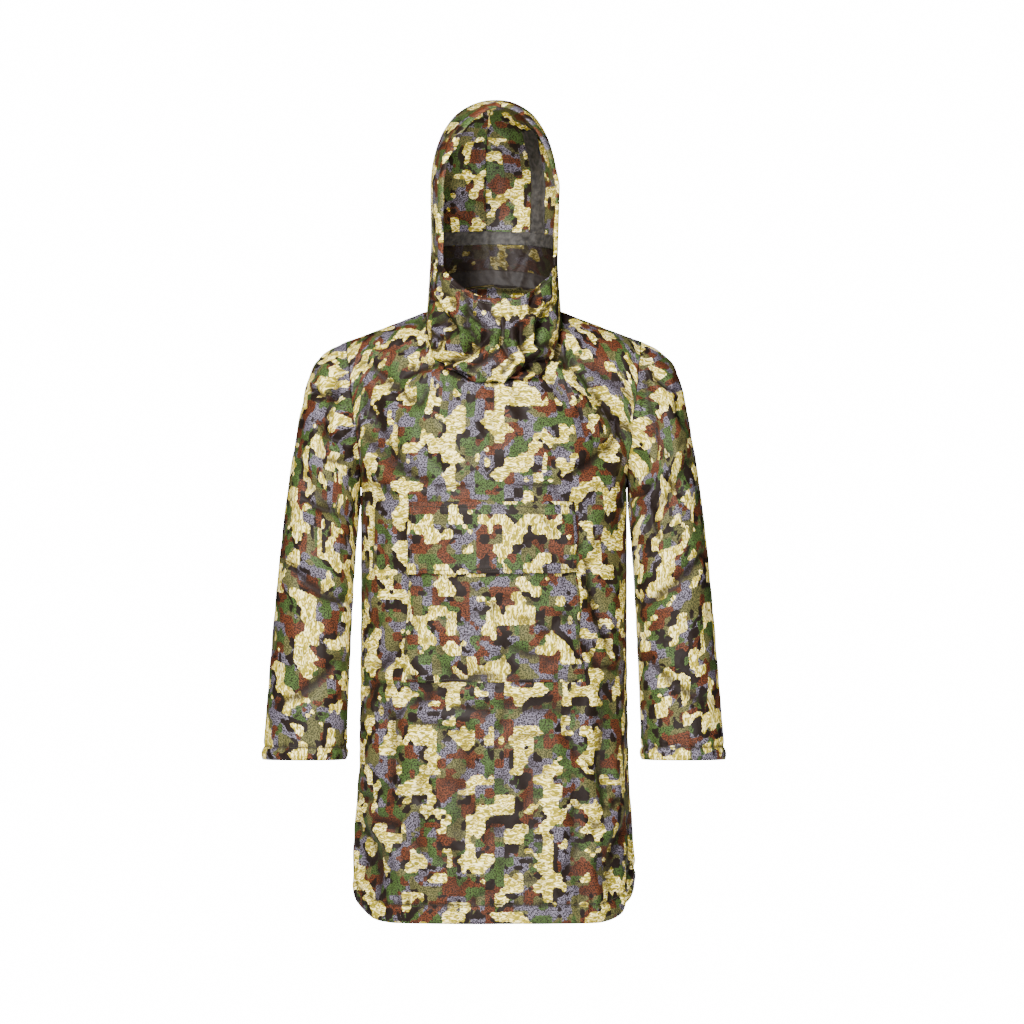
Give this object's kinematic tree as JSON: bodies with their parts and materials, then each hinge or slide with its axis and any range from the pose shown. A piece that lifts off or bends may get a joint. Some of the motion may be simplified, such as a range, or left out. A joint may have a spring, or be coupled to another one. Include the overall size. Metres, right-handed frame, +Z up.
{
  "type": "rain poncho",
  "caption": "Hooded pull-on rain poncho with drop-shoulder sleeves, cowl neck band, pouch pocket with flap and shirt-tail hem, hollow and posed as worn.",
  "frame": {"origin": "middle of the neck opening, level with the tops of the shoulders, where the wearer's shoulders hold the garment up", "axes": "+Z up, -Y to the garment's front, +X to the wearer's left"},
  "size_m": [0.7154, 0.3042, 1.2696],
  "materials": {
    "coated_cloth": null,
    "pocket_cloth": "the same coated camouflage cloth, on the pouch pocket and its flap",
    "seam_tape": "grey heat-bonded seam tape, smooth and slightly glossy, on the inside of the neck seams"
  },
  "bodies": {
    "root": {"front": "coated_cloth", "back": "coated_cloth", "sleeve_left": "coated_cloth", "sleeve_right": "coated_cloth", "collar": "coated_cloth", "hood_left": "coated_cloth", "hood_right": "coated_cloth", "pocket": "pocket_cloth", "pocket_flap": "pocket_cloth", "hood_tape": "seam_tape", "neck_tape": "seam_tape"}
  },
  "joints": []
}
